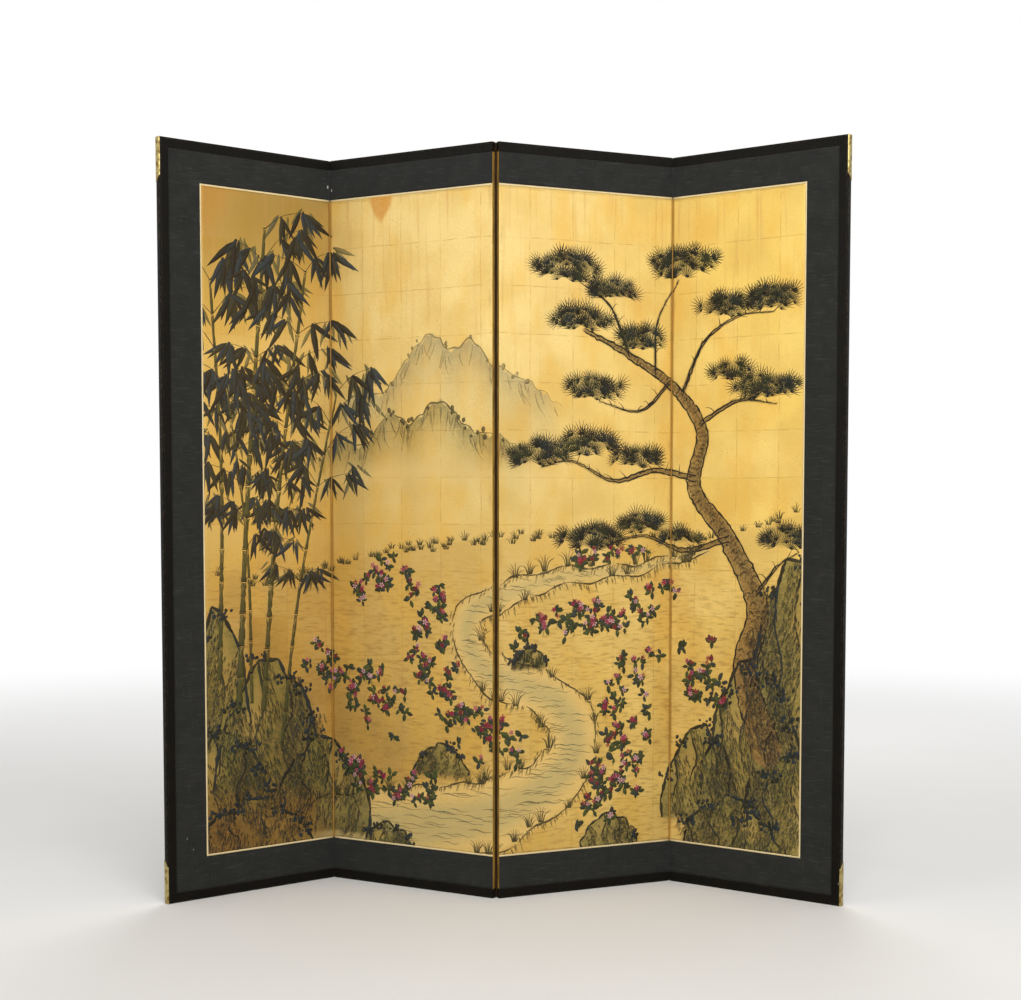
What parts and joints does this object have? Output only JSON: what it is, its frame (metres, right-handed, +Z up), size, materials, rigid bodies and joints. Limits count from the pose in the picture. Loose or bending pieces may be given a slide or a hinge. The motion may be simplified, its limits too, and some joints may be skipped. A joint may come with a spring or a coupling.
{
  "type": "folding screen",
  "caption": "Standing folding screen: paper leaves hinged edge to edge, with a gold-leaf painting, dark cloth border, black lacquered frame and brass corner guards.",
  "frame": {"origin": "on the ground, under the middle of the standing screen's box", "axes": "+Z up; the painted fronts of the leaves look towards -Y; +X runs to the right as seen from the front, so leaf_1 is at -X and leaf_4 at +X"},
  "size_m": [1.5494, 0.317, 1.73],
  "materials": {
    "black_lacquer": "black lacquer over wood, satin, rubbed at the edges",
    "border_cloth": "dark blue-grey woven cloth, paper-backed and pasted flat",
    "cream_paper": "cream paper fillet",
    "gold_leaf_painting": "aged gold-leaf squares on paper, painted in ink and colours",
    "gold_edge_paper": "gold paper over the folding edges, browned behind",
    "back_paper": "dark plain paper",
    "lining_paper": "layers of pasted lining paper",
    "hinge_paper": "tough long-fibred hinge paper, stained dark brown",
    "core_wood": "plain dry softwood",
    "bamboo": "split bamboo",
    "brass": "aged sheet brass"
  },
  "bodies": {
    "leaf_1": {"core_frame_1": "core_wood", "core_slats_1": "core_wood", "paper_linings_1": "lining_paper", "painting_1": "gold_leaf_painting", "cream_fillet_1": "cream_paper", "border_cloth_1": "border_cloth", "back_paper_1": "back_paper", "edge_paper_1": "gold_edge_paper", "top_rail_1": "black_lacquer", "bottom_rail_1": "black_lacquer", "frame_pegs_1": "bamboo", "left_stile": "black_lacquer", "guard_bottom_left": "brass", "guard_top_left": "brass", "guard_tacks_left": "brass", "fold_1_hinge_left": "hinge_paper"},
    "leaf_2": {"core_frame_2": "core_wood", "core_slats_2": "core_wood", "paper_linings_2": "lining_paper", "painting_2": "gold_leaf_painting", "cream_fillet_2": "cream_paper", "border_cloth_2": "border_cloth", "back_paper_2": "back_paper", "edge_paper_2": "gold_edge_paper", "top_rail_2": "black_lacquer", "bottom_rail_2": "black_lacquer", "frame_pegs_2": "bamboo", "fold_1_hinge_right": "hinge_paper", "fold_2_hinge_left": "hinge_paper"},
    "leaf_3": {"core_frame_3": "core_wood", "core_slats_3": "core_wood", "paper_linings_3": "lining_paper", "painting_3": "gold_leaf_painting", "cream_fillet_3": "cream_paper", "border_cloth_3": "border_cloth", "back_paper_3": "back_paper", "edge_paper_3": "gold_edge_paper", "top_rail_3": "black_lacquer", "bottom_rail_3": "black_lacquer", "frame_pegs_3": "bamboo", "fold_2_hinge_right": "hinge_paper", "fold_3_hinge_left": "hinge_paper"},
    "leaf_4": {"core_frame_4": "core_wood", "core_slats_4": "core_wood", "paper_linings_4": "lining_paper", "painting_4": "gold_leaf_painting", "cream_fillet_4": "cream_paper", "border_cloth_4": "border_cloth", "back_paper_4": "back_paper", "edge_paper_4": "gold_edge_paper", "top_rail_4": "black_lacquer", "bottom_rail_4": "black_lacquer", "frame_pegs_4": "bamboo", "right_stile": "black_lacquer", "guard_bottom_right": "brass", "guard_top_right": "brass", "guard_tacks_right": "brass", "fold_3_hinge_right": "hinge_paper"}
  },
  "joints": [
    {"name": "fold_1", "type": "hinge", "parent": "leaf_2", "child": "leaf_1", "pos_m": [-0.41511, 0.14354, 0], "axis": [0, 0, 1], "range_deg": [-69, 111]},
    {"name": "fold_2", "type": "hinge", "parent": "leaf_2", "child": "leaf_3", "pos_m": [-0.01597, -0.06634, 0], "axis": [0, 0, 1], "range_deg": [-54.5, 125.5]},
    {"name": "fold_3", "type": "hinge", "parent": "leaf_3", "child": "leaf_4", "pos_m": [0.40144, 0.10432, 0], "axis": [0, 0, 1], "range_deg": [-119.5, 60.5]}
  ]
}
